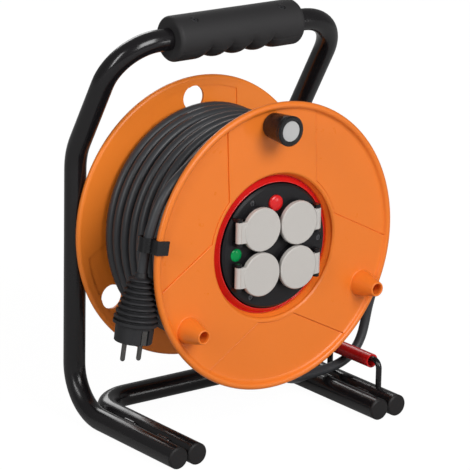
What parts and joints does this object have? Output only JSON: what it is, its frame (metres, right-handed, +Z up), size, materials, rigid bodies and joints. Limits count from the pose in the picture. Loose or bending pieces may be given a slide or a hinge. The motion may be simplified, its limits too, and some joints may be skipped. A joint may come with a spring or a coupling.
{
  "type": "extension cord reel",
  "caption": "Cable drum with covered socket outlets, turning on a bent tube stand with a moulded carrying grip.",
  "frame": {"origin": "on the floor at the middle of the tube frame's footprint", "axes": "+X to the right seen from the sockets, +Y to the rear, +Z up"},
  "size_m": [0.3507, 0.19, 0.4169],
  "materials": {
    "painted_tube": "gloss black paint",
    "weld": "painted over",
    "steel": "turned steel",
    "zinc": "zinc plated",
    "spring_steel": "blued",
    "black_plastic": "fine moulded grain",
    "cap_rubber": "moulded",
    "red_plastic": "smooth",
    "dark_red_plastic": "smooth",
    "orange_plastic": "fine moulded grain",
    "white_plastic": "smooth",
    "grey_plastic": "fine moulded grain",
    "lens": "clear green",
    "brass": "stamped",
    "nickel": "nickel plated",
    "cable_rubber": "rubber sheath",
    "clip": "black",
    "cap_grey": "smooth"
  },
  "bodies": {
    "frame": {"main_frame": "painted_tube", "base_frame": "painted_tube", "frame_welds": "weld", "foot_caps": "cap_rubber", "crossbar": "painted_tube", "axle": "steel", "thrust_washer": "zinc", "end_washer": "zinc", "retaining_ring": "spring_steel", "grip_upper": "black_plastic", "grip_lower": "black_plastic", "grip_screws": "spring_steel", "guide_bracket": "painted_tube", "cable_loop": "cable_rubber"},
    "guide_sleeve": {"guide_sleeve": "dark_red_plastic"},
    "drum": {"front_flange": "orange_plastic", "rear_flange": "orange_plastic", "drum_barrel": "orange_plastic", "barrel_screws": "zinc", "hub_bushes": "white_plastic", "bezel_ring": "red_plastic", "socket_panel": "black_plastic", "socket_inserts": "black_plastic", "earth_clips": "brass", "contact_sleeves": "brass", "socket_housing": "black_plastic", "hinge_pins": "zinc", "reset_body": "white_plastic", "indicator_lens": "lens", "panel_screws": "zinc", "knob_spindle": "steel", "plug_clip": "clip", "cable_gland": "black_plastic", "cable_core": "cable_rubber", "cable_turns": "cable_rubber", "cable_tail": "cable_rubber", "plug_body": "cable_rubber", "plug_boot": "cable_rubber", "plug_pins": "nickel", "plug_earths": "nickel"},
    "cover_ul": {"cover_ul": "grey_plastic"},
    "cover_ur": {"cover_ur": "grey_plastic"},
    "cover_ll": {"cover_ll": "grey_plastic"},
    "cover_lr": {"cover_lr": "grey_plastic"},
    "reset_button": {"reset_button": "red_plastic"},
    "knob": {"knob_body": "black_plastic", "knob_cap": "cap_grey"}
  },
  "joints": [
    {"name": "drum_spin", "type": "hinge", "parent": "frame", "child": "drum", "pos_m": [0, 0, 0.193], "axis": [0, 1, 0], "continuous": true, "deforming": ["cable_loop"]},
    {"name": "sleeve_spin", "type": "hinge", "parent": "frame", "child": "guide_sleeve", "pos_m": [0.136, -0.025, 0.0469], "axis": [0, 1, 0], "continuous": true},
    {"name": "cover_ul_swing", "type": "hinge", "parent": "drum", "child": "cover_ul", "pos_m": [-0.048, -0.0675, 0.21575], "axis": [0, 0, -1], "range_deg": [0, 105], "stiffness_Nm_per_rad": 0.02, "springref_deg": -22.92},
    {"name": "cover_ur_swing", "type": "hinge", "parent": "drum", "child": "cover_ur", "pos_m": [0.048, -0.0675, 0.21575], "axis": [0, 0, 1], "range_deg": [0, 105], "stiffness_Nm_per_rad": 0.02, "springref_deg": -22.92},
    {"name": "cover_ll_swing", "type": "hinge", "parent": "drum", "child": "cover_ll", "pos_m": [-0.048, -0.0675, 0.17025], "axis": [0, 0, -1], "range_deg": [0, 105], "stiffness_Nm_per_rad": 0.02, "springref_deg": -22.92},
    {"name": "cover_lr_swing", "type": "hinge", "parent": "drum", "child": "cover_lr", "pos_m": [0.048, -0.0675, 0.17025], "axis": [0, 0, 1], "range_deg": [0, 105], "stiffness_Nm_per_rad": 0.02, "springref_deg": -22.92},
    {"name": "button_press", "type": "slide", "parent": "drum", "child": "reset_button", "axis": [0, 1, 0], "range_m": [0, 0.002], "stiffness_N_per_m": 500, "springref_m": -0.001},
    {"name": "knob_spin", "type": "hinge", "parent": "drum", "child": "knob", "pos_m": [-0.00646, -0.0778, 0.31633], "axis": [0, 1, 0], "continuous": true}
  ]
}
